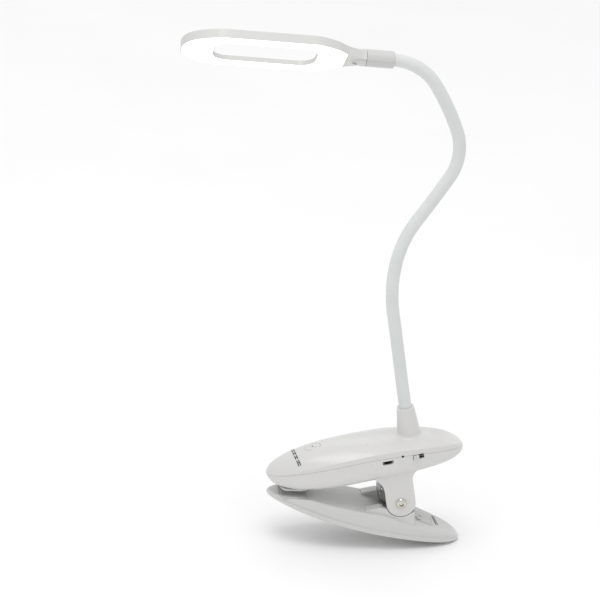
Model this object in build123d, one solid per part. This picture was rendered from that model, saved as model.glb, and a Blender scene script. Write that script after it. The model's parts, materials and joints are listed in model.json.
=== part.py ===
from build123d import *
from math import cos, exp, pi, radians, sin, sqrt
import os

# Clip-on reading lamp: a boat-shaped rechargeable clip, a flexible neck and a flat ring-shaped head.
# Millimetres and degrees. Row frame: the origin is the centre of the upper jaw pad's contact face,
# which rests on a board's top face. +X runs along the clip towards its handle end, +Z is up.
# The clip body is drawn in its own frame (u along the body, w out of its back), tilted by TILT.
# The lower jaw is drawn about the hinge pin, and the head about the middle of its swivel.

# Clip body
TILT = 12.4
BODY_MID = 55.0
BODY_HALF_LENGTH = 74.5
BODY_HALF_WIDTH = 22.5
CROWN = 12.4
CROWN_DIP = 0.3
KEEL = 20.0
WALL = 2.0
SEAM_PEAK_U = 60.0
SEAM_PEAK = 18.4
SEAM_FRONT_DROP = 5.4
SEAM_REAR_DROP = 10.0
SEAM_GAP = 0.2
CREASE_RISE = 4.2
BOARD_RELIEF = 0.35

# Board held in the jaws, and the pads that grip it
BOARD = 5.0
PAD_LENGTH = 20.0
PAD_WIDTH = 26.0
PAD_CORNER = 5.0
PAD_THICK = 1.4
PAD_X = -1.0

# Hinge
PIN_X = 79.5
PIN_Z = -6.0
PIN_R = 2.0
PIN_HEAD_R = 4.1
EAR_R = 11.0
EAR_IN = 15.0
EAR_OUT = 18.0
RUNNING = 0.05

# Lower jaw, about the pin
JAW_TILT = 10.7
JAW_MID = -21.2
JAW_HALF_LENGTH = 76.7
JAW_HALF_WIDTH = 22.0
JAW_STEP = 1.0
JAW_FLANGE = 3.5
LABEL_LIFT = 0.08
LABEL_Y = 1.5
POCKET_R = 16.6
LUG_R = 8.0
LUG_IN = 10.5
LUG_OUT = 14.6

# Neck
NECK_U = 90.6
COLLAR_TOP = 48.0
COLLAR_FILLET = 2.8
NECK_STEP = 38.94
NECK_TURNS = [0.6, -0.4, 18.8, 25.1, -2.3, -52.3, -11.1, -53.5]
SLEEVE_R = 4.7
SLEEVE_BORE = 3.5
CONDUIT_R = 3.4
CONDUIT_BORE = 2.0
LEADS_R = 1.3
NECK_SOCKET = 8.0
JOINT_GAP = 0.3
JOINT_HALF_ANGLE = 16.5

# Head, about the swivel, +X towards the neck and +Z out of its back
HEAD_PITCH = 2.5
HEAD_ROLL = 42.5
HEAD_THICK = 7.1
HEAD_HALF_WIDTH = 26.0
HEAD_TIP = -135.0
TIP_POWER = 2.3
TIP_LENGTH = 37.0
TAPER_FROM = -43.0
COLLAR_LENGTH = 18.0
COLLAR_R = 6.3
SEAM_X = -2.3
LIGHT_END = -17.4
SLOT_TIP = -111.5
SLOT_NECK = -38.0
SLOT_HALF = 15.2
SLOT_CORNER = 11.0
SLOT_RIM = 3.4
BEZEL = 0.6

TINY = 0.01
ROUND = 0.5523


def turned(u, w):
    """X and Z, in the row frame, of a point of the clip body's frame."""
    a = radians(TILT)
    return (u * cos(a) - w * sin(a), u * sin(a) + w * cos(a))


CLIP = Rot(0, -TILT, 0)
JAW = Pos(PIN_X, 0, PIN_Z) * Rot(0, JAW_TILT, 0)


def bow(x, power):
    return sqrt(max(0.0, 1 - abs(x) ** power))


def seam_height(u):
    """Height of the line where the two body shells meet."""
    if u < SEAM_PEAK_U:
        return SEAM_PEAK - SEAM_FRONT_DROP * ((SEAM_PEAK_U - u) / 79.5) ** 1.35
    return SEAM_PEAK - SEAM_REAR_DROP * ((u - SEAM_PEAK_U) / 70.5) ** 2


def side_prism(points, half_width, spline=()):
    """A closed outline in the XZ plane, extruded both ways along Y."""
    edges = []
    for i, p in enumerate(points):
        q = points[(i + 1) % len(points)]
        edges.append(Line(p, q))
    if spline:
        edges.pop()
        edges.append(Spline(*spline))
    return extrude(Plane.XZ * make_face(edges), amount=half_width, both=True)


def cylinder_y(x, z, radius, y_low, y_high):
    disc = Plane((x, y_low, z), x_dir=(1, 0, 0), z_dir=(0, 1, 0)) * Circle(radius)
    return extrude(disc, amount=y_high - y_low)


def block(x_low, x_high, y_low, y_high, z_low, z_high):
    size = (x_high - x_low, y_high - y_low, z_high - z_low)
    middle = ((x_high + x_low) / 2, (y_high + y_low) / 2, (z_high + z_low) / 2)
    return Pos(*middle) * Box(*size)


def both_sides(shape):
    return shape + mirror(shape, about=Plane.XZ)


def group(place, shapes):
    """Separate solids that share one node."""
    return Compound([place * shape.solid() for shape in shapes])


# ---------------------------------------------------------------- clip body

def body_section(u, inset):
    x = (u - BODY_MID) / (BODY_HALF_LENGTH - inset)
    half = (BODY_HALF_WIDTH - inset) * bow(x, 2.4)
    seam = seam_height(u)
    dip = 1 - CROWN_DIP * exp(-((x - 0.2) / 0.36) ** 2)
    crest = seam + (CROWN * dip - inset) * bow(x, 4 if x < 0 else 3.1)
    keel = seam - (KEEL - inset) * bow(x, 2.6 if x < 0 else 1.8)
    rise = CREASE_RISE * sin(min(pi / 2, pi / 2 * (x + 1)))
    crease = seam + min(rise, 0.6 * (crest - seam))
    flat = 0.45 * half
    foot = keel + 0.5 * (seam - keel)
    shoulder = 0.95 * half
    bend_y = flat + ROUND * (half - flat)
    bend_w = foot - ROUND * (foot - keel)
    outline = [
        Line((-flat, keel), (flat, keel)),
        Bezier((flat, keel), (bend_y, keel), (half, bend_w), (half, foot)),
        Line((half, foot), (shoulder, crease)),
        ThreePointArc((shoulder, crease), (0, crest), (-shoulder, crease)),
        Line((-shoulder, crease), (-half, foot)),
        Bezier((-half, foot), (-half, bend_w), (-bend_y, keel), (-flat, keel)),
    ]
    return Plane((u, 0, 0), x_dir=(0, 1, 0), z_dir=(1, 0, 0)) * make_face(outline)


def body_hull(inset):
    stations = [0.2, 0.4, 0.58, 0.74, 0.86, 0.94, 0.985, 0.999]
    places = [-x for x in reversed(stations)] + [0.0] + stations
    reach = BODY_HALF_LENGTH - inset
    return loft([body_section(BODY_MID + x * reach, inset) for x in places])


def seam_side(upper):
    """Everything above or below the seam, less half the seam's gap."""
    shift = SEAM_GAP / 2 if upper else -SEAM_GAP / 2
    far = 70.0 if upper else -70.0
    line = [(u, seam_height(u) + shift) for u in range(-30, 151, 10)]
    corners = [line[0], (-30, far), (150, far), line[-1]]
    return side_prism(corners, 40, spline=list(reversed(line)))


SCOOP_AT = (138.2, 0, 57.1)
SCOOP_R = 46.4
SCOOP_FROM = 102.0
USB_U = 70.6
USB_W = 14.8
SWITCH_U = 94.0
SWITCH_W = 14.4
LAMP_U = 82.2
BOSSES = [(10, 13.4), (10, -13.4), (107, 9.0), (107, -9.0)]
BOSS_R = 3.0
SCREW_SEAT = 5.0


def scoop(wall):
    """The shallow finger dish behind the neck, kept clear of the neck's collar."""
    ball = Pos(*SCOOP_AT) * Sphere(SCOOP_R + wall)
    return ball & block(SCOOP_FROM - wall, 160, -40, 40, -20, 40)


def cavity(hull):
    """The room inside the two shells."""
    room = hull - scoop(WALL)
    nose = Rot(0, TILT, 0) * block(-40, 14, -40, 40, -20, 3.0)
    return room - nose


def socket_outline(half_length, half_height):
    """A micro-USB outline: the two lower corners are cut off."""
    corner_u = half_length - 1.0
    corner_w = -half_height + 1.1
    right = [(half_length, half_height), (half_length, corner_w), (corner_u, -half_height)]
    left = [(-u, w) for u, w in reversed(right)]
    return right + left


def socket_prism(half_length, half_height, w, y_low, y_high):
    points = [(USB_U + a, w + b) for a, b in socket_outline(half_length, half_height)]
    return side_prism(points, 40) & block(USB_U - 10, USB_U + 10, y_low, y_high, w - 5, w + 5)


def side_openings():
    port = socket_prism(4.15, 1.55, USB_W, -30, -15)
    slot = block(SWITCH_U - 4.2, SWITCH_U + 4.2, -30, -15, SWITCH_W - 2.0, SWITCH_W + 2.0)
    lamp = cylinder_y(LAMP_U, seam_height(LAMP_U), 1.0, -30, -15)
    return port + slot + lamp


def collar():
    profile = [
        Line((0, 22.8), (9.2, 22.8)),
        Line((9.2, 22.8), (6.6, COLLAR_TOP - 0.6)),
        ThreePointArc((6.6, COLLAR_TOP - 0.6), (6.4, COLLAR_TOP - 0.2), (6.0, COLLAR_TOP)),
        Line((6.0, COLLAR_TOP), (0, COLLAR_TOP)),
        Line((0, COLLAR_TOP), (0, 22.8)),
    ]
    post = revolve(Plane.XZ * make_face(profile), axis=Axis.Z)
    return Pos(NECK_U, 0, 0) * post


def is_collar_foot(edge):
    middle = edge.bounding_box().center()
    return abs(middle.X - NECK_U) < 1 and 24 < middle.Z < 28


def make_upper_shell(hull, room):
    shell = (hull & seam_side(True)) + collar()
    shell = fillet(shell.edges().filter_by(is_collar_foot), COLLAR_FILLET)
    shell -= room
    for u, y in BOSSES:
        boss = Pos(u, y, 0) * extrude(Circle(BOSS_R), amount=60)
        shell += boss & room & seam_side(True)
    shell -= scoop(0)
    shell -= Pos(NECK_U, 0, 0) * extrude(Circle(SLEEVE_R + 0.1), amount=70)
    for u, y in BOSSES:
        pilot = Pos(u, y, 0) * extrude(Circle(1.1), amount=seam_height(u) + 4.0)
        shell -= pilot
    shell -= side_openings()
    return shell


def ear_profile():
    """One hinge ear from the side: a round foot on the pin, flaring into the body's underside."""
    pin_w = -22.9
    pin_u = 76.4
    top = 6.0
    front = pin_u - EAR_R
    rear = pin_u + EAR_R
    edges = [
        Line((rear, pin_w), (rear, -5.0)),
        ThreePointArc((rear, -5.0), (rear + 1.36, -0.45), (rear + 5.0, 2.6)),
        Line((rear + 5.0, 2.6), (rear + 5.0, top)),
        Line((rear + 5.0, top), (front - 7.9, top)),
        Line((front - 7.9, top), (front - 7.9, 1.5)),
        ThreePointArc((front - 7.9, 1.5), (front - 2.12, -4.18), (front, -12.0)),
        Line((front, -12.0), (front, pin_w)),
        ThreePointArc((front, pin_w), (pin_u, pin_w - EAR_R), (rear, pin_w)),
    ]
    return make_face(edges)


def make_lower_shell(hull, room):
    shell = hull & seam_side(False)
    ear_plane = Plane((0, EAR_OUT, 0), x_dir=(1, 0, 0), z_dir=(0, -1, 0))
    ear = extrude(ear_plane * ear_profile(), amount=EAR_OUT - EAR_IN)
    shell += both_sides(ear)
    shell -= room & seam_side(False)
    for u, y in BOSSES:
        boss = Pos(u, y, -10) * extrude(Circle(BOSS_R), amount=60)
        shell += boss & (hull & seam_side(False))
    for u, y in BOSSES:
        shell -= Pos(u, y, -10) * extrude(Circle(2.4), amount=10 + SCREW_SEAT)
        shell -= Pos(u, y, -10) * extrude(Circle(1.3), amount=60)
    shell -= side_openings()
    shell = CLIP * shell
    shell -= block(-60, 62, -40, 40, -20, BOARD_RELIEF)
    shell -= cylinder_y(PIN_X, PIN_Z, PIN_R, -30, 30)
    seat = RectangleRounded(PAD_LENGTH + 0.4, PAD_WIDTH + 0.4, PAD_CORNER)
    shell -= Pos(PAD_X, 0, -12) * extrude(seat, amount=12 + PAD_THICK)
    return shell


def make_pad(z_low):
    sheet = extrude(RectangleRounded(PAD_LENGTH, PAD_WIDTH, PAD_CORNER), amount=PAD_THICK)
    grooves = None
    for i in range(-3, 4):
        groove = block(i * 2.6 - 0.4, i * 2.6 + 0.4, -PAD_WIDTH / 2 + 3, PAD_WIDTH / 2 - 3, -1, 0.4)
        grooves = groove if grooves is None else grooves + groove
    pad = sheet - grooves
    if z_low < 0:
        pad = Pos(0, 0, PAD_THICK) * mirror(pad, about=Plane.XY)
    return Pos(PAD_X, 0, z_low) * pad


def make_screws():
    screws = []
    for u, y in BOSSES:
        head = extrude(Circle(2.2), amount=-1.6)
        shank = extrude(Circle(1.1), amount=seam_height(u) + 3.0 - SCREW_SEAT)
        cross = block(-1.3, 1.3, -0.25, 0.25, -2, -0.8) + block(-0.25, 0.25, -1.3, 1.3, -2, -0.8)
        screws.append(Pos(u, y, SCREW_SEAT) * (head + shank - cross))
    return group(CLIP, screws)


# ---------------------------------------------------------------- parts inside the clip body

BOARD_TOP = 13.3
BOARD_THICK = 1.4
CELL_R = 9.0
CELL_LOW = 4.5
CELL_HIGH = 68.0
CELL_W = 11.7


def make_battery_cell():
    can = Plane((CELL_LOW, 0, CELL_W), z_dir=(1, 0, 0)) * Circle(CELL_R)
    cell = fillet(extrude(can, amount=CELL_HIGH - CELL_LOW - 1.5).edges(), 0.8)
    tip = Plane((CELL_HIGH - 1.6, 0, CELL_W), z_dir=(1, 0, 0)) * Circle(3.0)
    return CLIP * (cell + extrude(tip, amount=1.6))


def make_control_board():
    board = block(70.0, 101.0, -15.5, 12.0, BOARD_TOP - BOARD_THICK, BOARD_TOP)
    board -= block(69.0, 72.0, 8.0, 13.0, 0, 20)
    board -= block(SWITCH_U - 4.7, SWITCH_U + 4.7, -17.0, -12.5, 0, 20)
    return CLIP * board


def make_usb_socket():
    middle = BOARD_TOP + 1.4
    tube = socket_prism(3.75, 1.4, middle, -20.8, -14.8)
    bore = socket_prism(3.4, 1.05, middle, -21.3, -15.4)
    tongue = block(USB_U - 1.9, USB_U + 1.9, -19.8, -15.4, middle - 0.1, middle + 0.5)
    return CLIP * (tube - bore), CLIP * tongue


def make_switch():
    case = block(SWITCH_U - 4.6, SWITCH_U + 4.6, -16.3, -12.6, BOARD_TOP - BOARD_THICK, BOARD_TOP + 3.4)
    slot = block(SWITCH_U - 3.4, SWITCH_U + 3.4, -17.0, -14.0, SWITCH_W - 0.9, SWITCH_W + 0.9)
    left = SWITCH_U - 3.3
    stem = block(left + 1.2, left + 2.8, -19.2, -14.4, SWITCH_W - 0.7, SWITCH_W + 0.7)
    cap = block(left - 0.5, left + 3.5, -21.5, -18.2, SWITCH_W - 1.6, SWITCH_W + 1.6)
    ribs = [block(left + x, left + x + 0.35, -24, -21.1, SWITCH_W - 2, SWITCH_W + 2) for x in (0.3, 1.3, 2.3)]
    for rib in ribs:
        cap -= rib
    return CLIP * (case - slot), CLIP * (cap + stem)


def make_indicator_lens():
    w = seam_height(LAMP_U)
    pipe = cylinder_y(LAMP_U, w, 0.9, -20.2, -13.6)
    leg = block(LAMP_U - 0.8, LAMP_U + 0.8, -15.2, -13.6, BOARD_TOP, w)
    return CLIP * (pipe + leg)


def make_touch_electrode():
    disc = extrude(Circle(5.5), amount=0.3)
    tab = block(-1.5, 1.5, 5.0, 9.0, 0, 0.3)
    return CLIP * (Pos(18, 0, 24.0) * (disc + tab))


def make_neck_ferrule():
    tube = extrude(Circle(SLEEVE_R) - Circle(CONDUIT_R + 0.05), amount=COLLAR_TOP - NECK_SOCKET - 17.0)
    return CLIP * (Pos(NECK_U, 0, 17.0) * tube)


def make_neck_nut():
    nut = extrude(RegularPolygon(7.6, 6) - Circle(SLEEVE_R), amount=4.0)
    return CLIP * (Pos(NECK_U, 0, 19.5) * nut)


# ---------------------------------------------------------------- hinge

def make_hinge_pin():
    head = EAR_OUT + 2.2
    points = [
        Line((0, 0), (PIN_R, 0)),
        Line((PIN_R, 0), (PIN_R, EAR_OUT)),
        Line((PIN_R, EAR_OUT), (PIN_HEAD_R, EAR_OUT)),
        Line((PIN_HEAD_R, EAR_OUT), (PIN_HEAD_R, EAR_OUT + 0.5)),
        ThreePointArc((PIN_HEAD_R, EAR_OUT + 0.5), (3.0, head - 0.4), (1.7, head)),
        Line((1.7, head), (1.2, EAR_OUT + 0.8)),
        Line((1.2, EAR_OUT + 0.8), (0, EAR_OUT + 0.8)),
        Line((0, EAR_OUT + 0.8), (0, 0)),
    ]
    half = revolve(Plane.XY * make_face(points), axis=Axis.Y)
    return Pos(PIN_X, 0, PIN_Z) * both_sides(half)


SPRING_HALF_WIDTH = 8.0
SPRING_THICK = 1.0
SPRING_LINE = [(4, 22.0), (-4, 20.0), (-12.5, 12.5), (-15.3, 3), (-12.6, -8.5), (-6, -13.6), (3, -15.2)]


def make_jaw_spring():
    """A strip bent into a U round the pin, pressing the jaws together."""
    line = Spline(*SPRING_LINE)
    inner = []
    outer = []
    steps = 16
    for i in range(steps + 1):
        at = line @ (i / steps)
        along_line = line % (i / steps)
        across = Vector(-along_line.Y, along_line.X) * (SPRING_THICK / 2)
        inner.append(at + across)
        outer.append(at - across)
    inner_edge = Spline(*inner)
    outer_edge = Spline(*reversed(outer))
    ends = [Line(inner[-1], outer[-1]), Line(outer[0], inner[0])]
    face = make_face([inner_edge, ends[0], outer_edge, ends[1]])
    strip = extrude(Plane.XZ * face, amount=SPRING_HALF_WIDTH, both=True)
    return Pos(PIN_X, 0, PIN_Z) * strip


# ---------------------------------------------------------------- lower jaw

def superellipse(middle, half_length, half_width, power):
    points = []
    turns = 40
    for i in range(turns):
        a = 2 * pi * i / turns
        c = cos(a)
        s = sin(a)
        x = middle + half_length * (abs(c) ** (2 / power)) * (1 if c >= 0 else -1)
        y = half_width * (abs(s) ** (2 / power)) * (1 if s >= 0 else -1)
        points.append((x, y))
    return make_face(Spline(*points, periodic=True))


def jaw_plan(inset):
    plan = superellipse(JAW_MID, JAW_HALF_LENGTH - inset, JAW_HALF_WIDTH - inset, 2.4)
    return Pos(0, 0, -60) * extrude(plan, amount=90)


PADDLE_EDGE = (14.7, -16.0)
PADDLE_SLOPE = -0.1525
FRONT_TOP = -12.3
TIP_TOP = (-66.0, 0.18896)
KEEL_LINE = -28.3


def jaw_top(p):
    """Top of the jaw: level in front, sloping down under the fingers, parallel to the board at the tip."""
    if p < TIP_TOP[0]:
        return FRONT_TOP + TIP_TOP[1] * (p - TIP_TOP[0])
    top = min(FRONT_TOP, PADDLE_EDGE[1] + PADDLE_SLOPE * (p - PADDLE_EDGE[0]))
    if p > 37:
        top -= 4.2 * ((p - 37) / 20) ** 4
    return top


def jaw_bottom(p):
    if p < -10:
        return KEEL_LINE + 8.4 * ((-10 - p) / 88) ** 1.6
    if p > 40:
        return KEEL_LINE + 0.7 * ((p - 40) / 17) ** 2
    return KEEL_LINE


def jaw_section(p):
    """A wider flange round the bottom, and a rounded upper edge."""
    half = JAW_HALF_WIDTH * bow((p - JAW_MID) / JAW_HALF_LENGTH, 2.4)
    low = jaw_bottom(p)
    high = jaw_top(p)
    flange = low + min(JAW_FLANGE, 0.45 * (high - low))
    step = min(JAW_STEP, 0.2 * half)
    wall = half - step
    top_round = min(2.4, 0.7 * (high - flange - 0.3 * step), 0.5 * wall)
    foot_round = min(0.8, 0.3 * (flange - low), 0.3 * half)
    bend = top_round * (1 - sqrt(0.5))
    right = [
        Line((0, low), (half - foot_round, low)),
        Line((half - foot_round, low), (half, low + foot_round)),
        Line((half, low + foot_round), (half, flange)),
        Line((half, flange), (wall, flange + 0.3 * step)),
        Line((wall, flange + 0.3 * step), (wall, high - top_round)),
        ThreePointArc((wall, high - top_round), (wall - bend, high - bend), (wall - top_round, high)),
        Line((wall - top_round, high), (0, high)),
    ]
    left = [mirror(edge, about=Plane.YZ) for edge in right]
    return Plane((p, 0, 0), x_dir=(0, 1, 0), z_dir=(1, 0, 0)) * make_face(right + left)


def make_lower_jaw():
    places = [-84, -74, -66, -58, -44, -30, -18, -9.6, 2, 14.7, 26, 37, 44, 49]
    ends = [0.986, 0.996, 0.9995]
    places = [JAW_MID - x * JAW_HALF_LENGTH for x in reversed(ends)] + [-92] + places
    places += [JAW_MID + 0.965 * JAW_HALF_LENGTH] + [JAW_MID + x * JAW_HALF_LENGTH for x in ends]
    jaw = loft([jaw_section(p) for p in places])

    cheek = [(12.2, -4.6), (14.7, -16.2), (14.7, -22.0), (-26.0, -22.0)]
    cheek += [(-24.0, -11.6), (-14.0, -7.0), (-9.6, -7.0), (9.6, -7.0)]
    jaw += side_prism(cheek, EAR_OUT)
    lug = cylinder_y(0, 0, LUG_R, LUG_IN, LUG_OUT) + block(-LUG_R, LUG_R, LUG_IN, LUG_OUT, -20, 0)
    ear_room = cylinder_y(0, 0, EAR_R + 0.6, LUG_OUT, 40)
    jaw -= both_sides(ear_room)
    jaw -= cylinder_y(0, 0, POCKET_R, -LUG_IN, LUG_IN)
    jaw -= block(-30.0, 0, -LUG_IN, LUG_IN, -12.4, 20)
    jaw -= block(-12.0, 12.5, -LUG_OUT, LUG_OUT, -9.0, 0)
    jaw += both_sides(lug)
    jaw -= cylinder_y(0, 0, PIN_R + RUNNING, -30, 30)

    hollow = [(-91, -19.4), (-84, -17.9), (-68, -15.2), (-30, -14.6), (-24, -24.0), (15, -24.0)]
    hollow += [(18, -19.4), (37, -22.2), (46, -24.4), (52, -26.6), (52, -60), (-91, -60)]
    hollow_space = side_prism(hollow, 40) & jaw_plan(3.4)
    ribs = block(-95, 60, -0.8, 0.8, -60, 0)
    for p in (-66, -40, 26):
        ribs += block(p - 0.8, p + 0.8, -40, 40, -60, 0)
    rib_line = [(-99, -19.6), (-75, -22.2), (-45, -24.4), (-10, -26.6), (58, -27.0), (58, 0), (-99, 0)]
    rib_floor = side_prism(rib_line, 40)
    jaw -= hollow_space - (ribs & rib_floor)
    jaw = JAW * jaw
    seat = RectangleRounded(PAD_LENGTH + 0.4, PAD_WIDTH + 0.4, PAD_CORNER)
    jaw -= Pos(PAD_X, 0, -BOARD - PAD_THICK) * extrude(seat, amount=12)
    return jaw


def make_rating_label():
    plate = extrude(RectangleRounded(15.0, 17.0, 1.6), amount=0.25)
    p = PADDLE_EDGE[0] + 10.5
    q = PADDLE_EDGE[1] + PADDLE_SLOPE * 10.5
    return JAW * Pos(p, LABEL_Y, q + LABEL_LIFT) * Rot(0, 8.67, 0) * plate


# ---------------------------------------------------------------- neck

def neck_nodes():
    """Point and heading at each end of every neck piece. Heading 0 is straight up, + leans to +X."""
    x, z = turned(NECK_U, COLLAR_TOP)
    heading = -TILT
    nodes = [(x, z, heading)]
    for turn in NECK_TURNS:
        chord = NECK_STEP
        if abs(turn) > TINY:
            chord = NECK_STEP * sin(radians(turn / 2)) / radians(turn / 2)
        middle = radians(heading + turn / 2)
        x += chord * sin(middle)
        z += chord * cos(middle)
        heading += turn
        nodes.append((x, z, heading))
    return nodes


def along(node, distance):
    x, z, heading = node
    return (x + distance * sin(radians(heading)), 0, z + distance * cos(radians(heading)))


def neck_arc(a, b):
    """The arc from one node to the next, through the point on its crown."""
    chord = Vector(b[0] - a[0], 0, b[1] - a[1])
    turn = radians(b[2] - a[2])
    sagitta = NECK_STEP / turn * (1 - cos(turn / 2))
    normal = Vector(-chord.Z, 0, chord.X).normalized()
    crown = Vector(a[0], 0, a[1]) + chord * 0.5 + normal * sagitta
    return ThreePointArc((a[0], 0, a[1]), crown, (b[0], 0, b[1]))


def neck_tube(a, b, radius, bore, before=0.0, after=0.0):
    ring = Circle(radius) - Circle(bore) if bore else Circle(radius)
    path = neck_arc(a, b)
    tube = sweep(Plane((a[0], 0, a[1]), z_dir=path % 0) * ring, path=path)
    if before:
        low = along(a, -before)
        tube += extrude(Plane(low, z_dir=path % 0) * ring, amount=before)
    if after:
        tube += extrude(Plane((b[0], 0, b[1]), z_dir=path % 1) * ring, amount=after)
    return tube


def joint_gap(node):
    """A double cone at a neck joint, so that the two pieces can bend without meeting."""
    reach = 8.0
    wide = JOINT_GAP + reach * sin(radians(JOINT_HALF_ANGLE)) / cos(radians(JOINT_HALF_ANGLE))
    corners = [(0, -JOINT_GAP), (0, JOINT_GAP), (reach, wide), (reach, -wide)]
    edges = [Line(p, corners[(i + 1) % 4]) for i, p in enumerate(corners)]
    gap = revolve(Plane.XZ * make_face(edges), axis=Axis.Z)
    return Pos(node[0], 0, node[1]) * Rot(0, node[2], 0) * gap


def make_neck():
    nodes = neck_nodes()
    last = len(NECK_TURNS) - 1
    pieces = {}
    for i in range(last + 1):
        a = nodes[i]
        b = nodes[i + 1]
        first = i == 0
        top = NECK_SOCKET if i == last else 0
        sleeve = neck_tube(a, b, SLEEVE_R, SLEEVE_BORE, NECK_SOCKET if first else 0, top)
        conduit = neck_tube(a, b, CONDUIT_R, CONDUIT_BORE, COLLAR_TOP - 16.0 if first else 0, top)
        leads = neck_tube(a, b, LEADS_R, 0, COLLAR_TOP - 14.5 if first else 0, 12.0 if top else 0)
        for name, tube in (("sleeve", sleeve), ("conduit", conduit), ("leads", leads)):
            if i > 0:
                tube -= joint_gap(a)
            if i < last:
                tube -= joint_gap(b)
            pieces["neck_%s_%d" % (name, i + 1)] = tube
    return pieces


NECK_END = neck_nodes()[-1]
HEAD_AXIS = (cos(radians(HEAD_PITCH)), -sin(radians(HEAD_PITCH)))
HEAD_X = NECK_END[0] - COLLAR_LENGTH * HEAD_AXIS[0]
HEAD_Z = NECK_END[1] - COLLAR_LENGTH * HEAD_AXIS[1]
COLLAR_PLACE = Pos(HEAD_X, 0, HEAD_Z) * Rot(0, HEAD_PITCH, 0)
HEAD = COLLAR_PLACE * Rot(-HEAD_ROLL, 0, 0)


def ring_x(x_low, x_high, outer, inner=0.0):
    face = Circle(outer) - Circle(inner) if inner else Circle(outer)
    return extrude(Plane((x_low, 0, 0), z_dir=(1, 0, 0)) * face, amount=x_high - x_low)


# ---------------------------------------------------------------- swivel collar

SPIGOT_R = 4.5
FLANGE_LOW = 3.4
FLANGE_HIGH = 5.2
FLANGE_R = 5.2


def make_collar_halves():
    body = ring_x(SEAM_X + 0.15, COLLAR_LENGTH, COLLAR_R)
    rim = body.edges().filter_by(GeomType.CIRCLE).sort_by(Axis.X)[-1]
    body = fillet(rim, 0.6)
    body -= ring_x(-5, COLLAR_LENGTH + 1, SPIGOT_R + RUNNING)
    body -= ring_x(FLANGE_LOW - 0.3, FLANGE_HIGH + 0.3, FLANGE_R + 0.3)
    body -= ring_x(6.4, COLLAR_LENGTH + 1, SLEEVE_R + 0.05)
    upper = COLLAR_PLACE * (body & block(-5, 30, -10, 10, 0.04, 10))
    lower = COLLAR_PLACE * (body & block(-5, 30, -10, 10, -10, -0.04))
    return upper, lower


def make_top_ferrule():
    tube = ring_x(6.8, COLLAR_LENGTH - NECK_SOCKET, SLEEVE_R, LEADS_R + 0.1)
    return COLLAR_PLACE * tube


def make_swivel_spigot():
    tube = ring_x(-8.0, FLANGE_HIGH, SPIGOT_R, 3.0)
    stop = ring_x(FLANGE_LOW, FLANGE_HIGH, FLANGE_R, 3.0)
    anchor = ring_x(-8.0, -5.5, 5.2, 3.0)
    return HEAD * (tube + stop + anchor)


# ---------------------------------------------------------------- head

def head_outline(inset):
    """Plan of the head: a long round ring that narrows into the neck stub."""
    half = HEAD_HALF_WIDTH - inset
    tip_length = TIP_LENGTH - inset
    side = []
    for a in (0.0, pi / 8, pi / 4, 3 * pi / 8, pi / 2):
        x = HEAD_TIP + TIP_LENGTH - tip_length * cos(a) ** (2 / TIP_POWER)
        side.append((x, half * sin(a) ** (2 / TIP_POWER)))
    taper = [(TAPER_FROM, half), (-30.0, 22.0 - inset), (-22.8, 17.6 - inset), (-17.4, 12.5 - inset)]
    taper += [(-9.0, 8.0 - inset), (SEAM_X - 0.15, 6.5 - inset)]
    edges = []
    for s in (1, -1):
        edges.append(Spline(*[(x, s * y) for x, y in side], tangents=[(0, s), (1, 0)]))
        edges.append(Line((side[-1][0], s * half), (TAPER_FROM, s * half)))
        edges.append(Spline(*[(x, s * y) for x, y in taper], tangents=[(1, 0), (1, 0)]))
    edges.append(Line((SEAM_X - 0.15, 6.5 - inset), (SEAM_X - 0.15, inset - 6.5)))
    return make_face(edges)


def slot_face(grow):
    middle = (SLOT_TIP + SLOT_NECK) / 2
    length = SLOT_NECK - SLOT_TIP + 2 * grow
    return Pos(middle, 0) * RectangleRounded(length, 2 * (SLOT_HALF + grow), SLOT_CORNER + grow)


def dish(drop):
    """The hollow in the head's back, which slopes down to the slot."""
    low = -HEAD_THICK / 2 + SLOT_RIM - drop
    high = HEAD_THICK / 2 - drop
    bottom = Pos(0, 0, low) * slot_face(0)
    top = Pos(0, 0, high) * slot_face(8.8)
    lid = Pos(0, 0, high) * extrude(slot_face(8.8), amount=6)
    return loft([bottom, top], ruled=True) + lid


def slab(face, low, high):
    return Pos(0, 0, low) * extrude(face, amount=high - low)


def neck_cover_space():
    corners = [(LIGHT_END, -9), (LIGHT_END, -3.2), (-3, -0.05), (1, -0.05), (1, -9)]
    return side_prism(corners, 20)


def head_solid():
    half = HEAD_THICK / 2
    plate = slab(head_outline(0), -half, half)
    back_edges = plate.faces().sort_by(Axis.Z)[-1].edges()
    plate = fillet(back_edges, 1.0)
    stub = ring_x(-6.0, SEAM_X - 0.15, COLLAR_R)
    fade = Plane((-6.0, 0, 0), z_dir=(-1, 0, 0)) * Circle(COLLAR_R)
    fade_end = Plane((LIGHT_END, 0, 0), z_dir=(-1, 0, 0)) * Circle(HEAD_THICK / 2)
    return plate + stub + loft([fade, fade_end])


SCREW_X = -10.5
LEAD_Y = 2.2
LEAD_R = 0.6


def lead_channels():
    channel = ring_x(-26.0, -7.0, LEAD_R + 0.15)
    return Pos(0, LEAD_Y, 0) * channel + Pos(0, -LEAD_Y, 0) * channel


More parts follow.
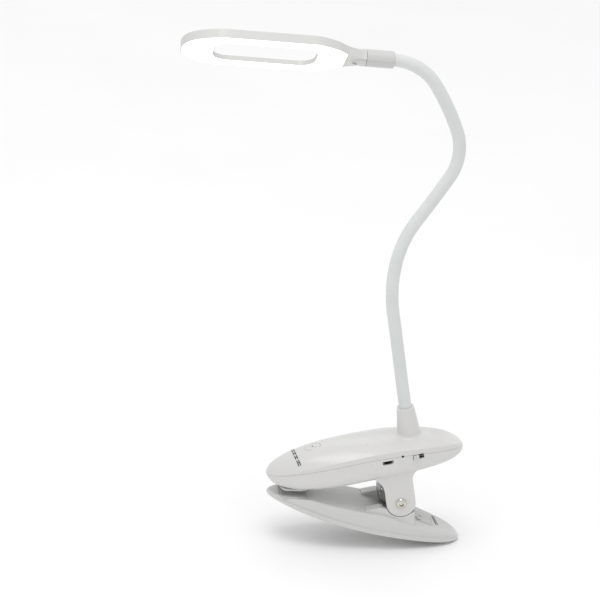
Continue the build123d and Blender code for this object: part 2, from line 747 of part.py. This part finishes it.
def make_head_top():
    half = HEAD_THICK / 2
    shell = head_solid() - neck_cover_space()
    shell -= block(-60, LIGHT_END, -30, 30, -12, -half)
    shell -= dish(0)
    shell -= slab(slot_face(0), -10, 10)
    pocket = slab(head_outline(BEZEL) - slot_face(BEZEL), -half - 1, -half + 1.1)
    pocket &= block(-200, LIGHT_END, -40, 40, -10, 10)
    shell -= pocket
    room = slab(head_outline(1.7) - slot_face(1.7), -half, half - 1.3) - dish(1.3)
    room &= block(-200, -20, -40, 40, -10, 10)
    shell -= room
    shell -= lead_channels()
    shell -= ring_x(-8.05, 1.0, SPIGOT_R)
    shell -= ring_x(-8.05, -5.45, 5.2)
    shell -= Pos(SCREW_X, 0, -4) * extrude(Circle(1.0), amount=7.2)
    return HEAD * shell


def make_neck_cover():
    cover = head_solid() & neck_cover_space()
    cover -= block(-30, LIGHT_END + 0.1, -30, 30, -20, 20)
    cover -= ring_x(-8.05, 1.0, SPIGOT_R)
    cover -= ring_x(-8.05, -5.45, 5.2)
    cover -= lead_channels()
    cover -= Pos(SCREW_X, 0, -10) * extrude(Circle(2.0), amount=6.2)
    cover -= Pos(SCREW_X, 0, -10) * extrude(Circle(1.15), amount=12)
    return HEAD * cover


def make_head_screw():
    head = extrude(Circle(1.8), amount=-1.2)
    shank = extrude(Circle(1.0), amount=6.6)
    cross = block(-1.1, 1.1, -0.2, 0.2, -2, -0.6) + block(-0.2, 0.2, -1.1, 1.1, -2, -0.6)
    return HEAD * Pos(SCREW_X, 0, -3.8) * (head + shank - cross)


def make_diffuser():
    half = HEAD_THICK / 2
    ring = slab(head_outline(BEZEL + 0.05) - slot_face(BEZEL + 0.05), -half, -half + 1.0)
    return HEAD * (ring & block(-200, LIGHT_END - 0.1, -40, 40, -10, 10))


def make_led_board():
    ring = slab(head_outline(3.2) - slot_face(2.6), -2.15, -1.45)
    return HEAD * (ring & block(-200, -22.0, -40, 40, -10, 10))


def make_leds():
    """Small chips along the middle of the ring, on the board's lower face."""
    chips = []
    run = SLOT_NECK - SLOT_TIP - 2 * SLOT_HALF
    middle = (SLOT_TIP + SLOT_NECK) / 2
    offset = SLOT_HALF + 6.2
    for i in range(9):
        x = middle - run / 2 + run * i / 8
        for y in (-offset, offset):
            chips.append(Pos(x, y, -2.33) * Box(2.8, 1.4, 0.36))
    for i in range(1, 6):
        a = radians(90 + 30 * i)
        x = middle - run / 2 + offset * cos(a)
        chips.append(Pos(x, offset * sin(a), -2.33) * Rot(0, 0, 90 + 30 * i - 90) * Box(1.4, 2.8, 0.36))
        if abs(a - pi) > 0.6:
            x = middle + run / 2 - offset * cos(a)
            chips.append(Pos(x, offset * sin(a), -2.33) * Rot(0, 0, 90 - 30 * i) * Box(1.4, 2.8, 0.36))
    return group(HEAD, chips)


def make_head_leads():
    wires = [Pos(0, y, 0) * ring_x(-24.0, 5.0, LEAD_R) for y in (-LEAD_Y, LEAD_Y)]
    return group(HEAD, wires)


# ---------------------------------------------------------------- build

def build():
    hull = body_hull(0)
    room = cavity(body_hull(WALL))
    parts = {}
    parts["upper_shell"] = CLIP * make_upper_shell(hull, room)
    parts["lower_shell"] = make_lower_shell(hull, room)
    parts["upper_jaw_pad"] = make_pad(0)
    parts["shell_screws"] = make_screws()
    parts["battery_cell"] = make_battery_cell()
    parts["control_board"] = make_control_board()
    parts["usb_socket"], parts["usb_tongue"] = make_usb_socket()
    parts["switch_case"], parts["switch_knob"] = make_switch()
    parts["indicator_lens"] = make_indicator_lens()
    parts["touch_electrode"] = make_touch_electrode()
    parts["neck_base_ferrule"] = make_neck_ferrule()
    parts["neck_base_nut"] = make_neck_nut()
    parts["hinge_pin"] = make_hinge_pin()
    parts["jaw_spring"] = make_jaw_spring()
    parts["lower_jaw"] = make_lower_jaw()
    parts["lower_jaw_pad"] = make_pad(-BOARD - PAD_THICK)
    parts["rating_label"] = make_rating_label()
    parts.update(make_neck())
    parts["neck_top_ferrule"] = make_top_ferrule()
    parts["collar_upper_half"], parts["collar_lower_half"] = make_collar_halves()
    parts["swivel_spigot"] = make_swivel_spigot()
    parts["head_top_shell"] = make_head_top()
    parts["head_neck_cover"] = make_neck_cover()
    parts["head_screw"] = make_head_screw()
    parts["diffuser"] = make_diffuser()
    parts["led_board"] = make_led_board()
    parts["led_chips"] = make_leds()
    parts["head_leads"] = make_head_leads()
    return parts


os.makedirs("parts", exist_ok=True)
for node, shape in build().items():
    export_step(shape, "parts/" + node + ".step")
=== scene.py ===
import bpy
import json
from math import atan2, cos, pi, radians, sin
from mathutils import Matrix, Vector
from mathutils.bvhtree import BVHTree


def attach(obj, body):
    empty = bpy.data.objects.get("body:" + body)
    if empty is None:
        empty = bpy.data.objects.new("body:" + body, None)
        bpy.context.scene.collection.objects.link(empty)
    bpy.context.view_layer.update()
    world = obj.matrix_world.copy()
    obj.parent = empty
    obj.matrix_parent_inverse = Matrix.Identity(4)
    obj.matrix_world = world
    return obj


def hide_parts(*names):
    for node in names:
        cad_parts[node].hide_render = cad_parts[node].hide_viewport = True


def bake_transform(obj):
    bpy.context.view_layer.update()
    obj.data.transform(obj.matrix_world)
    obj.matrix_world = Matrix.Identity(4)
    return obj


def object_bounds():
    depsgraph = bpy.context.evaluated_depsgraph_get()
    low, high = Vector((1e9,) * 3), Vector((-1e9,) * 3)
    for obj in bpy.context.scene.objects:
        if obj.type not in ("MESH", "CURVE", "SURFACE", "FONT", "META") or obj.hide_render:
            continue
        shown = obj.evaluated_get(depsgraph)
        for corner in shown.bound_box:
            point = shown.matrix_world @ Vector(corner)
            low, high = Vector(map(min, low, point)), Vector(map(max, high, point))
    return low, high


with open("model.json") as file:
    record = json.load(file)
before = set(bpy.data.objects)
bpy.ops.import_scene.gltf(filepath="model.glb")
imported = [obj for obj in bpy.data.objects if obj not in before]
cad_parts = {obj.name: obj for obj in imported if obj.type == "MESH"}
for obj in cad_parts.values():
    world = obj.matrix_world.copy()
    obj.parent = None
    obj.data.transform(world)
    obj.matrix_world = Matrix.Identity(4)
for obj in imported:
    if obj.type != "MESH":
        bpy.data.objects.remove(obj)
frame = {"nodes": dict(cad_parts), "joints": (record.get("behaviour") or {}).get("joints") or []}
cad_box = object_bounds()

# Clip-on reading lamp. Metres, in the CAD model's frame: the origin is the contact face of the upper
# jaw's pad, +X runs towards the handle end, +Z is up.

MM = 0.001
NODES = frame["nodes"]
JOINTS = {joint["name"]: joint for joint in frame["joints"]}


# ---------------------------------------------------------------- materials

def new_material(name):
    """A material with its nodes, its links and its shader."""
    material = bpy.data.materials.new(name)
    material.use_nodes = True
    nodes = material.node_tree.nodes
    links = material.node_tree.links
    return material, nodes, links, nodes["Principled BSDF"]


def noise(nodes, links, scale, detail=3.0, roughness=0.5, stretch=(1, 1, 1)):
    """Noise over the object's own coordinates."""
    coordinates = nodes.new("ShaderNodeTexCoord")
    mapping = nodes.new("ShaderNodeMapping")
    mapping.inputs["Scale"].default_value = stretch
    texture = nodes.new("ShaderNodeTexNoise")
    texture.inputs["Scale"].default_value = scale
    texture.inputs["Detail"].default_value = detail
    texture.inputs["Roughness"].default_value = roughness
    links.new(coordinates.outputs["Object"], mapping.inputs["Vector"])
    links.new(mapping.outputs["Vector"], texture.inputs["Vector"])
    return texture.outputs["Fac"]


def ramp(nodes, links, source, low, high, at=(0.3, 0.7)):
    """A colour that runs from low to high as the source runs between the two places."""
    node = nodes.new("ShaderNodeValToRGB")
    node.color_ramp.elements[0].position = at[0]
    node.color_ramp.elements[1].position = at[1]
    node.color_ramp.elements[0].color = (*low, 1)
    node.color_ramp.elements[1].color = (*high, 1)
    links.new(source, node.inputs["Fac"])
    return node.outputs["Color"]


def remap(nodes, links, source, low, high):
    """A value that runs from low to high over the middle of a noise's range."""
    node = nodes.new("ShaderNodeMapRange")
    node.inputs["From Min"].default_value = 0.3
    node.inputs["From Max"].default_value = 0.7
    node.inputs["To Min"].default_value = low
    node.inputs["To Max"].default_value = high
    links.new(source, node.inputs["Value"])
    return node.outputs["Result"]


def bump(nodes, links, source, distance, strength):
    node = nodes.new("ShaderNodeBump")
    node.inputs["Distance"].default_value = distance
    node.inputs["Strength"].default_value = strength
    links.new(source, node.inputs["Height"])
    return node.outputs["Normal"]


def shade(color, factor):
    """The colour made darker or lighter by a factor."""
    return tuple(min(1, c * factor) for c in color)


def moulded_plastic(name, color, rough, coat=0.3):
    """Moulded plastic: faint flow marks, orange peel, and handling haze in the gloss."""
    material, nodes, links, shader = new_material(name)
    flow = noise(nodes, links, 38, 4, 0.55)
    links.new(ramp(nodes, links, flow, shade(color, 0.97), color), shader.inputs["Base Color"])
    haze = noise(nodes, links, 140, 5, 0.65)
    links.new(remap(nodes, links, haze, *rough), shader.inputs["Roughness"])
    links.new(bump(nodes, links, noise(nodes, links, 260, 2), 0.00004, 0.5), shader.inputs["Normal"])
    shader.inputs["Coat Weight"].default_value = coat
    shader.inputs["Coat Roughness"].default_value = 0.12
    shader.inputs["IOR"].default_value = 1.49
    return material


def silicone(name, color):
    """Matte sleeve with a soft sheen, faint dust and the slight ripple of the hose inside."""
    material, nodes, links, shader = new_material(name)
    dust = noise(nodes, links, 90, 5, 0.6)
    links.new(ramp(nodes, links, dust, shade(color, 0.95), color), shader.inputs["Base Color"])
    links.new(remap(nodes, links, noise(nodes, links, 400, 3), 0.46, 0.6), shader.inputs["Roughness"])
    ripple = bump(nodes, links, noise(nodes, links, 900, 2), 0.00005, 0.5)
    links.new(ripple, shader.inputs["Normal"])
    shader.inputs["Sheen Weight"].default_value = 0.12
    shader.inputs["Sheen Roughness"].default_value = 0.4
    shader.inputs["IOR"].default_value = 1.43
    return material


def rubber(name, color):
    """Soft rubber, dull and a little mottled."""
    material, nodes, links, shader = new_material(name)
    mottling = noise(nodes, links, 160, 4, 0.6)
    links.new(ramp(nodes, links, mottling, shade(color, 0.9), color), shader.inputs["Base Color"])
    links.new(remap(nodes, links, noise(nodes, links, 700, 3), 0.55, 0.75), shader.inputs["Roughness"])
    links.new(bump(nodes, links, noise(nodes, links, 1800, 2), 0.00008, 0.6), shader.inputs["Normal"])
    return material


def metal(name, color, rough, brushed=0.0, spots=0.06):
    """Bare metal with faint stains, and with a stretched grain where it is brushed."""
    material, nodes, links, shader = new_material(name)
    stain = noise(nodes, links, 120, 5, 0.65)
    dark = shade(color, 1 - spots * 3)
    links.new(ramp(nodes, links, stain, dark, color, (0.25, 0.55)), shader.inputs["Base Color"])
    stretch = (1, 1, 12) if brushed else (1, 1, 1)
    grain = noise(nodes, links, 900, 3, 0.5, stretch)
    links.new(remap(nodes, links, grain, *rough), shader.inputs["Roughness"])
    links.new(bump(nodes, links, grain, 0.00002 + brushed, 0.5), shader.inputs["Normal"])
    shader.inputs["Metallic"].default_value = 1.0
    return material


def glowing(name, color, strength):
    """Opal diffuser, lit evenly from inside."""
    material, nodes, links, shader = new_material(name)
    mottling = noise(nodes, links, 60, 3, 0.5)
    links.new(ramp(nodes, links, mottling, shade(color, 0.97), color), shader.inputs["Base Color"])
    links.new(remap(nodes, links, noise(nodes, links, 500, 3), 0.4, 0.5), shader.inputs["Roughness"])
    shader.inputs["Emission Color"].default_value = (1.0, 0.985, 0.96, 1)
    shader.inputs["Emission Strength"].default_value = strength
    return material


def ink(name, color):
    """Printed ink, worn lighter in places."""
    material, nodes, links, shader = new_material(name)
    worn = noise(nodes, links, 1500, 4, 0.6)
    light = tuple(min(1, c * 1.6 + 0.03) for c in color)
    links.new(ramp(nodes, links, worn, color, light, (0.45, 0.85)), shader.inputs["Base Color"])
    links.new(remap(nodes, links, noise(nodes, links, 900, 2), 0.4, 0.55), shader.inputs["Roughness"])
    return material


def circuit(name, color):
    """Solder mask with faint copper tracks under it."""
    material, nodes, links, shader = new_material(name)
    coordinates = nodes.new("ShaderNodeTexCoord")
    tracks = nodes.new("ShaderNodeTexBrick")
    tracks.inputs["Scale"].default_value = 180
    tracks.inputs["Mortar Size"].default_value = 0.06
    tracks.inputs["Color1"].default_value = (*color, 1)
    tracks.inputs["Color2"].default_value = (*shade(color, 0.9), 1)
    tracks.inputs["Mortar"].default_value = (*shade(color, 1.6), 1)
    links.new(coordinates.outputs["Object"], tracks.inputs["Vector"])
    links.new(tracks.outputs["Color"], shader.inputs["Base Color"])
    links.new(remap(nodes, links, noise(nodes, links, 800, 3), 0.25, 0.4), shader.inputs["Roughness"])
    links.new(bump(nodes, links, tracks.outputs["Fac"], 0.00003, 0.6), shader.inputs["Normal"])
    return material


def clear_plastic(name, color):
    """See-through plastic with handling haze."""
    material, nodes, links, shader = new_material(name)
    links.new(remap(nodes, links, noise(nodes, links, 300, 2), 0.08, 0.2), shader.inputs["Roughness"])
    shader.inputs["Base Color"].default_value = (*color, 1)
    shader.inputs["Transmission Weight"].default_value = 0.6
    shader.inputs["IOR"].default_value = 1.49
    return material


SHELL = moulded_plastic("shell_plastic", (0.66, 0.655, 0.648), rough=(0.26, 0.36))
JAW = moulded_plastic("jaw_plastic", (0.62, 0.618, 0.612), rough=(0.3, 0.4))
HEAD = moulded_plastic("head_plastic", (0.64, 0.637, 0.63), rough=(0.3, 0.42), coat=0.15)
COLLAR = moulded_plastic("collar_plastic", (0.58, 0.58, 0.575), rough=(0.36, 0.46), coat=0.1)
KNOB = moulded_plastic("knob_plastic", (0.70, 0.70, 0.69), rough=(0.35, 0.45), coat=0.0)
SPIGOT = moulded_plastic("spigot_nylon", (0.64, 0.63, 0.60), rough=(0.4, 0.5), coat=0.0)
SLEEVE = silicone("sleeve_silicone", (0.70, 0.71, 0.71))
PAD = rubber("pad_rubber", (0.52, 0.52, 0.51))
NICKEL = metal("pin_nickel", (0.66, 0.64, 0.58), rough=(0.06, 0.16))
# Spring steel, much darker than the bare screws: partly the steel's own tone, partly painted shade for the
# gap between the jaws.
SPRING_STEEL_PAINTED_SHADE = metal("spring_steel", (0.22, 0.22, 0.225), rough=(0.25, 0.4))
SCREW = metal("screw_steel", (0.52, 0.52, 0.52), rough=(0.25, 0.4))
FERRULE = metal("ferrule_steel", (0.56, 0.56, 0.57), rough=(0.22, 0.36), brushed=0.00002)
CONDUIT = metal("conduit_steel", (0.48, 0.48, 0.49), rough=(0.3, 0.5), brushed=0.00003)
TIN = metal("tin_plate", (0.34, 0.34, 0.34), rough=(0.2, 0.36))
COPPER = metal("electrode_copper", (0.80, 0.46, 0.30), rough=(0.2, 0.36), spots=0.1)
GLOW = glowing("diffuser_glow", (0.92, 0.92, 0.90), 2.2)
CHIP = glowing("chip_glow", (0.90, 0.80, 0.35), 2.0)
LED_BOARD = moulded_plastic("led_board_mask", (0.70, 0.70, 0.68), rough=(0.3, 0.4), coat=0.0)
CELL = moulded_plastic("cell_wrap", (0.05, 0.16, 0.42), rough=(0.2, 0.3), coat=0.4)
WIRE = moulded_plastic("wire_red", (0.45, 0.03, 0.02), rough=(0.35, 0.5), coat=0.0)
TONGUE = moulded_plastic("tongue_black", (0.02, 0.02, 0.02), rough=(0.4, 0.5), coat=0.0)
BOARD = circuit("board_green", (0.03, 0.20, 0.08))
# Near-black tint on the indicator lens: painted shade standing in for the dark indicator hole.
LENS = clear_plastic("lens_painted_shade", (0.012, 0.014, 0.013))
LABEL = moulded_plastic("label_film", (0.60, 0.60, 0.59), rough=(0.45, 0.55), coat=0.0)
INK = ink("print_ink", (0.045, 0.045, 0.048))
GREY_INK = ink("print_grey", (0.30, 0.30, 0.29))

LOOKS = {
    "upper_shell": SHELL, "lower_shell": SHELL, "lower_jaw": JAW, "upper_jaw_pad": PAD, "lower_jaw_pad": PAD,
    "shell_screws": SCREW, "head_screw": SCREW, "hinge_pin": NICKEL, "jaw_spring": SPRING_STEEL_PAINTED_SHADE,
    "battery_cell": CELL, "control_board": BOARD, "usb_socket": TIN, "usb_tongue": TONGUE,
    "switch_case": TIN, "switch_knob": KNOB, "indicator_lens": LENS, "touch_electrode": COPPER,
    "neck_base_ferrule": FERRULE, "neck_base_nut": FERRULE, "neck_top_ferrule": FERRULE,
    "collar_upper_half": COLLAR, "collar_lower_half": COLLAR, "swivel_spigot": SPIGOT,
    "head_top_shell": HEAD, "head_neck_cover": HEAD, "diffuser": GLOW, "led_board": LED_BOARD,
    "led_chips": CHIP, "head_leads": WIRE, "rating_label": LABEL,
}
for i in range(1, 9):
    LOOKS["neck_sleeve_%d" % i] = SLEEVE
    LOOKS["neck_conduit_%d" % i] = CONDUIT
    LOOKS["neck_leads_%d" % i] = WIRE

for node, look in LOOKS.items():
    NODES[node].data.materials.clear()
    NODES[node].data.materials.append(look)


# ---------------------------------------------------------------- building pieces

TILT = radians(12.4)
JAW_TILT = radians(10.7)
PIN = Vector(JOINTS["clip_jaw"]["pos_m"])


def add_mesh(name, vertices, faces, look, smooth=True, sharp=()):
    mesh = bpy.data.meshes.new(name)
    mesh.from_pydata(vertices, [], faces)
    mesh.materials.append(look)
    for polygon in mesh.polygons:
        polygon.use_smooth = smooth
    if sharp:
        corners = set(frozenset(pair) for pair in sharp)
        for edge in mesh.edges:
            edge.use_edge_sharp = frozenset(edge.vertices) in corners
    piece = bpy.data.objects.new(name, mesh)
    bpy.context.scene.collection.objects.link(piece)
    return piece


def body_point(u, y, w):
    """A point of the clip body's own frame, given in millimetres, in the row frame."""
    return Vector((u * cos(TILT) - w * sin(TILT), y, u * sin(TILT) + w * cos(TILT))) * MM


def jaw_point(p, y, q):
    """A point of the jaw's own frame, given in millimetres about the pin, in the row frame."""
    offset = Vector((p * cos(JAW_TILT) + q * sin(JAW_TILT), y, q * cos(JAW_TILT) - p * sin(JAW_TILT)))
    return PIN + offset * MM


# ---------------------------------------------------------------- neck skin

NECK_U = 90.6
COLLAR_TOP = 48
TWIST_DROP = 18 * MM
BENDS = [Vector(JOINTS["neck_bend_%d" % i]["pos_m"]) for i in range(1, 8)]
TWIST = JOINTS["head_twist"]
SKIN_R = 4.7 * MM
SKIN_BORE = 3.55 * MM
SOCKET = 7.5 * MM
RING_SIDES = 48
RING_STEP = 1.3 * MM


def upward(heading):
    """The direction of a heading: 0 is straight up, and more leans towards +X."""
    return Vector((sin(heading), 0, cos(heading)))


def neck_points():
    """Where the skin's line starts at the collar, its seven joints, and where it ends under the twist."""
    start = body_point(NECK_U, 0, COLLAR_TOP)
    end = Vector(TWIST["pos_m"]) - Vector(TWIST["axis"]) * TWIST_DROP
    return [start] + BENDS + [end]


def neck_segments():
    """For each stretch between two joints: its start, its heading there, its turn and its length."""
    points = neck_points()
    heading = -TILT
    segments = []
    for a, b in zip(points, points[1:]):
        chord = b - a
        turn = 2 * (atan2(chord.x, chord.z) - heading)
        length = chord.length
        if abs(turn) > 1e-5:
            length = length * (turn / 2) / sin(turn / 2)
        segments.append((a, heading, turn, length))
        heading += turn
    return segments


def neck_ring(segments, at):
    """Middle of the neck and its heading, at a place counted in segments from the collar."""
    index = min(max(int(at), 0), len(segments) - 1)
    start, heading, turn, length = segments[index]
    part = at - index
    inside = min(max(part, 0.0), 1.0)
    half = turn * inside / 2
    chord = length * inside
    if abs(half) > 1e-6:
        chord *= sin(half) / half
    middle = start + upward(heading + half) * chord
    direction = heading + turn * inside
    middle += upward(direction) * (part - inside) * length
    return middle, direction


def tube_mesh(rings, outer, inner):
    """A tube with a real wall through the given middles and headings, open at both ends."""
    vertices = []
    for radius in (outer, inner):
        for middle, heading in rings:
            sideways = Vector((cos(heading), 0, -sin(heading)))
            for k in range(RING_SIDES):
                angle = 2 * pi * k / RING_SIDES
                outwards = sideways * cos(angle) + Vector((0, 1, 0)) * sin(angle)
                vertices.append(middle + outwards * radius)
    count = len(rings)
    faces = []
    sharp = []
    inner_base = count * RING_SIDES
    for k in range(RING_SIDES):
        j = (k + 1) % RING_SIDES
        for i in range(count - 1):
            a = i * RING_SIDES
            b = a + RING_SIDES
            faces.append((a + k, b + k, b + j, a + j))
            faces.append((inner_base + a + j, inner_base + b + j, inner_base + b + k, inner_base + a + k))
        for base, flip in ((0, False), ((count - 1) * RING_SIDES, True)):
            rim = (base + k, base + j, inner_base + base + j, inner_base + base + k)
            faces.append(tuple(reversed(rim)) if flip else rim)
            sharp.append((base + k, base + j))
            sharp.append((inner_base + base + k, inner_base + base + j))
    return vertices, faces, sharp


def make_neck_skin():
    """The sleeve, in seven lengths that each bend round one joint and meet between the joints."""
    segments = neck_segments()
    length = segments[0][3]
    for k in range(1, 8):
        low = -SOCKET / length if k == 1 else k - 0.5
        high = 8 + SOCKET / length if k == 7 else k + 0.5
        steps = round((high - low) * length / RING_STEP)
        rings = [neck_ring(segments, low + (high - low) * i / steps) for i in range(steps + 1)]
        vertices, faces, sharp = tube_mesh(rings, SKIN_R, SKIN_BORE)
        skin = add_mesh("neck_skin_%d" % k, vertices, faces, SLEEVE, sharp=sharp)
        joint, heading = neck_ring(segments, k)
        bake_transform(skin)
        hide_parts("neck_sleeve_%d" % k)
        if k == 7:
            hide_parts("neck_sleeve_8")


make_neck_skin()


# ---------------------------------------------------------------- jaw spring

# The strip's side line in millimetres about the hinge pin, from its end at the body to its end at the jaw.
SPRING_LINE = [(4, 22.0), (-4, 20.0), (-12.5, 12.5), (-15.3, 3), (-12.6, -8.5), (-6, -13.6), (3, -15.2)]
SPRING_HALF_WIDTH = 7.9
SPRING_THICK = 0.9
SPRING_BEVEL = 0.25
SPRING_STEPS = 10


def smooth_line(points, steps):
    """A smooth line through the given points, with a number of steps between each two."""
    line = []
    count = len(points)
    for i in range(count - 1):
        p0 = Vector(points[max(i - 1, 0)])
        p1 = Vector(points[i])
        p2 = Vector(points[i + 1])
        p3 = Vector(points[min(i + 2, count - 1)])
        for k in range(steps):
            t = k / steps
            squared = (2 * p0 - 5 * p1 + 4 * p2 - p3) * t ** 2
            cubed = (3 * p1 - p0 - 3 * p2 + p3) * t ** 3
            bend = (p2 - p0) * t + squared + cubed
            line.append(p1 + bend * 0.5)
    line.append(Vector(points[-1]))
    return line


def make_spring_strip():
    """The bent strip between the jaws, with bevelled edges."""
    line = smooth_line(SPRING_LINE, SPRING_STEPS)
    half = SPRING_THICK / 2
    wide = SPRING_HALF_WIDTH
    narrow = wide - SPRING_BEVEL
    thin = half - SPRING_BEVEL
    section = [(-narrow, half), (-wide, thin), (-wide, -thin), (-narrow, -half)]
    section += [(-y, t) for y, t in reversed(section)]
    vertices = []
    for i, point in enumerate(line):
        ahead = line[min(i + 1, len(line) - 1)] - line[max(i - 1, 0)]
        across = Vector((-ahead.y, ahead.x)).normalized()
        for y, t in section:
            at = point + across * t
            vertices.append(PIN + Vector((at.x, y, at.y)) * MM)
    sides = len(section)
    faces = [tuple(range(sides)), tuple(reversed(range(len(vertices) - sides, len(vertices))))]
    for i in range(len(line) - 1):
        for k in range(sides):
            j = (k + 1) % sides
            a = i * sides
            faces.append((a + j, a + k, a + sides + k, a + sides + j))
    strip = add_mesh("jaw_spring_strip", vertices, faces, SPRING_STEEL_PAINTED_SHADE, smooth=False)
    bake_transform(strip)
    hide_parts("jaw_spring")


make_spring_strip()


# ---------------------------------------------------------------- printed marks

PRINT_LIFT = 0.03 * MM
PRINT_FROM = 60
BAR_STEP = 0.5
ARC_STEP = 0.4


def bar(a0, a1, b0, b1, lean=0.0):
    """A grid over a bar from a0 to a1 and b0 to b1, whose edge at b1 is shifted by lean."""
    steps_a = max(1, round(abs(a1 - a0) / BAR_STEP))
    steps_b = max(1, round(abs(b1 - b0) / BAR_STEP))
    grid = []
    for i in range(steps_a + 1):
        row = []
        for k in range(steps_b + 1):
            across = k / steps_b
            row.append((a0 + (a1 - a0) * i / steps_a + lean * across, b0 + (b1 - b0) * across))
        grid.append(row)
    return grid


def arc(a, b, radius, width, start, end):
    """A grid over a stroke round the point a, b, between two angles in degrees."""
    steps = max(2, round(radius * radians(abs(end - start)) / ARC_STEP))
    grid = []
    for i in range(steps + 1):
        angle = radians(start + (end - start) * i / steps)
        row = []
        for r in (radius - width / 2, radius, radius + width / 2):
            row.append((a + r * cos(angle), b + r * sin(angle)))
        grid.append(row)
    return grid


def dot(a, b, radius):
    """A filled round, as one wide stroke with a pinhole left in its middle."""
    return arc(a, b, radius / 2, radius * 0.98, 0, 360)


def printed(name, shapes, place, high, node, body, look):
    """Ink laid on a CAD node's surface: every point drops from above onto it."""
    mesh = NODES[node].data
    tree = BVHTree.FromPolygons([v.co for v in mesh.vertices], [p.vertices for p in mesh.polygons])
    down = (place(0, 0, 0) - place(0, 0, 1)).normalized()
    vertices = []
    faces = []
    for grid in shapes:
        first = len(vertices)
        for row in grid:
            for a, b in row:
                landed = tree.ray_cast(place(a, b, high), down)[0]
                vertices.append(landed - down * PRINT_LIFT)
        width = len(grid[0])
        for i in range(len(grid) - 1):
            for k in range(width - 1):
                corner = first + i * width + k
                faces.append((corner, corner + 1, corner + width + 1, corner + width))
    piece = add_mesh(name, vertices, faces, look)
    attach(piece, body)


TOUCH_U = 17.8
TOUCH_SQUASH = 0.78
NOSE_U = 1.7
NOSE_BOW = 0.006
NOSE_END = 7.8


def print_on_back(name, shapes, look):
    printed(name, shapes, body_point, PRINT_FROM, "upper_shell", "clip_body", look)


def make_touch_mark():
    """A broken ring with two strokes and a dot inside it, squashed a little across the body."""
    strokes = [arc(0, 0, 6.0, 0.45, a, b) for a, b in ((-45, 35), (50, 98), (140, 165), (182, 262))]
    strokes += [arc(0, 0, 3.3, 0.42, a, b) for a, b in ((-78, -22), (108, 165))]
    flattened = [[[(TOUCH_U + a, TOUCH_SQUASH * b) for a, b in row] for row in grid] for grid in strokes]
    print_on_back("touch_mark", flattened, GREY_INK)
    print_on_back("touch_dot", [dot(TOUCH_U, 0, 0.8)], INK)


def make_nose_mark():
    """A plain row of double strokes across the nose, in place of a name."""
    shapes = []
    for b0, b1 in ((7.8, 4.6), (3.8, 0.6), (-0.2, -4.0), (-4.8, -8.6), (-9.4, -13.8)):
        u = NOSE_U + NOSE_BOW * (b0 - NOSE_END) ** 2
        tilt = NOSE_BOW * ((b1 - NOSE_END) ** 2 - (b0 - NOSE_END) ** 2)
        shapes.append(bar(u, u + 0.8, b0, b1, tilt))
        shapes.append(bar(u + 1.5, u + 2.3, b0, b1, tilt))
        middle = (b0 + b1) / 2
        shapes.append(bar(u + tilt / 2 + 0.8, u + tilt / 2 + 1.5, middle + 0.4, middle - 0.4))
    print_on_back("nose_mark", shapes, INK)


def make_label_marks():
    """Plain squares and bars on the paddle's label, in place of its symbols and text."""
    squares = [bar(18.4, 19.5, -3.2, -1.8), bar(18.8, 20.8, -6.0, -4.4), bar(21.2, 22.3, -5.6, -4.4)]
    printed("label_symbols", squares, jaw_point, 0, "rating_label", "jaw", INK)
    lines = [arc(22.6, 1.2, 1.0, 0.9, 0, 360), bar(31.7, 32.1, 6.0, 1.0), bar(31.7, 32.1, -0.4, -4.0)]
    printed("label_lines", lines, jaw_point, 0, "rating_label", "jaw", GREY_INK)
    block = [bar(33.4, 34.6, 10.2, -3.4, 1.6), bar(35.2, 35.8, 10.0, -3.2, 1.6)]
    printed("paddle_lines", block, jaw_point, 0, "lower_jaw", "jaw", INK)


make_touch_mark()
make_nose_mark()
make_label_marks()


# ---------------------------------------------------------------- stage, light and camera

FLOOR_SIZE = 14
FLOOR_GAP = 0.5 * MM


def make_floor():
    bpy.ops.mesh.primitive_plane_add(size=FLOOR_SIZE, location=(0, 0, cad_box[0].z - FLOOR_GAP))
    floor = bpy.context.object
    floor.name = "floor"
    material, nodes, links, shader = new_material("floor_paper")
    paper = noise(nodes, links, 6, 3)
    links.new(ramp(nodes, links, paper, (0.92, 0.92, 0.92), (0.94, 0.94, 0.94)), shader.inputs["Base Color"])
    shader.inputs["Roughness"].default_value = 0.8
    floor.data.materials.append(material)


def area_light(name, at, towards, size, power):
    data = bpy.data.lights.new(name, "AREA")
    data.shape = "RECTANGLE"
    data.size = size[0]
    data.size_y = size[1]
    data.energy = power
    light = bpy.data.objects.new(name, data)
    light.location = at
    aim = Vector(towards) - Vector(at)
    light.rotation_euler = aim.to_track_quat("-Z", "Y").to_euler()
    bpy.context.scene.collection.objects.link(light)


def make_lights():
    area_light("key", (-0.25, -0.3, 2.1), (0.05, 0, 0.12), (1.2, 1.2), 14)
    area_light("back", (0.3, 1.6, 1.4), (0.0, 0, 0.2), (1.4, 0.8), 2)
    world = bpy.data.worlds.new("studio")
    world.use_nodes = True
    background = world.node_tree.nodes["Background"]
    background.inputs["Color"].default_value = (1.0, 1.0, 1.0, 1)
    background.inputs["Strength"].default_value = 0.82
    bpy.context.scene.world = world
    bpy.context.scene.view_settings.view_transform = "Standard"


# The camera's place, the direction behind it and its upward direction, for the photograph's viewing angle.
CAMERA_AT = (-0.3755, -2.3716, 1.2424)
CAMERA_BACK = (-0.13934, -0.89955, 0.41392)
CAMERA_UP = (-0.02694, 0.42129, 0.90648)
LENS = 216
SENSOR = 36


def make_camera():
    data = bpy.data.cameras.new("camera")
    data.lens = LENS
    data.sensor_width = SENSOR
    data.clip_start = 0.05
    data.clip_end = 50
    back = Vector(CAMERA_BACK).normalized()
    right = Vector(CAMERA_UP).cross(back).normalized()
    up = back.cross(right)
    camera = bpy.data.objects.new("camera", data)
    turn = Matrix((right, up, back)).transposed().to_4x4()
    camera.matrix_world = Matrix.Translation(CAMERA_AT) @ turn
    bpy.context.scene.collection.objects.link(camera)
    bpy.context.scene.camera = camera


make_floor()
make_lights()
make_camera()
